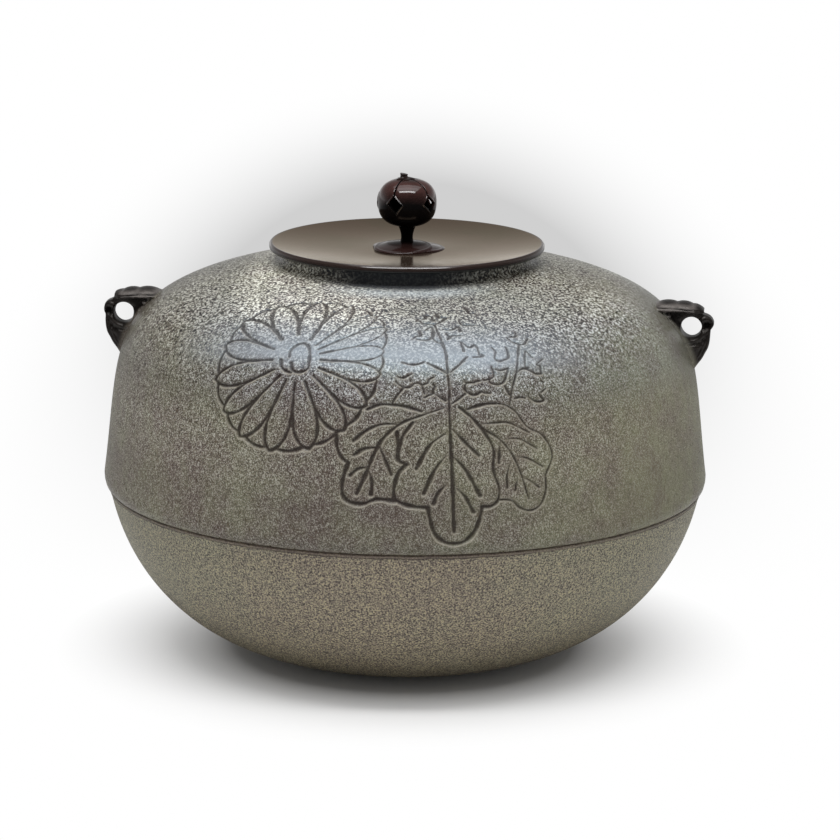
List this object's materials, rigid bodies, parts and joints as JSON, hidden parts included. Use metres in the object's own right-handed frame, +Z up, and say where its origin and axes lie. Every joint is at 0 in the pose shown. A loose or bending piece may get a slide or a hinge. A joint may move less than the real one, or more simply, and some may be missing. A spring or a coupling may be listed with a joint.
{
  "type": "tea kettle",
  "caption": "Round cast-iron tea kettle with a set-in bowl bottom, ring lugs with eyes and a scooped bronze lid that lifts off by a bud knob.",
  "frame": {"origin": "centre of the flat base, on the surface that the kettle stands on", "axes": "+Z up, +X from the left lug to the right lug, the ornamented front faces -Y"},
  "size_m": [0.2702, 0.267, 0.2136],
  "materials": {
    "iron_skin": "sand-cast skin under thin rubbed lacquer",
    "iron_bottom": "rough sand-cast skin",
    "lug_iron": "smooth dark casting",
    "strip_iron": "forged and rusted",
    "seam_lacquer": "iron-filled lacquer",
    "lid_bronze": "brown patina, satin",
    "knob_bronze": "dark red-brown patina, polished"
  },
  "bodies": {
    "kettle": {"upper_body": "iron_skin", "bottom_bowl": "iron_bottom", "seam_lacquer": "seam_lacquer", "left_lug": "lug_iron", "right_lug": "lug_iron", "singing_iron_1": "strip_iron", "singing_iron_2": "strip_iron", "singing_iron_3": "strip_iron", "lacquer_pad_1": "seam_lacquer", "lacquer_pad_2": "seam_lacquer", "lacquer_pad_3": "seam_lacquer"},
    "lid": {"lid_plate": "lid_bronze", "rivet_washer": "lid_bronze", "knob_seat": "knob_bronze", "knob_stem": "knob_bronze", "knob_ball": "knob_bronze", "knob_calyx": "knob_bronze"}
  },
  "joints": [
    {"name": "lid_lift", "type": "slide", "parent": "kettle", "child": "lid", "axis": [0, 0, 1], "range_m": [0, 0.1]}
  ]
}
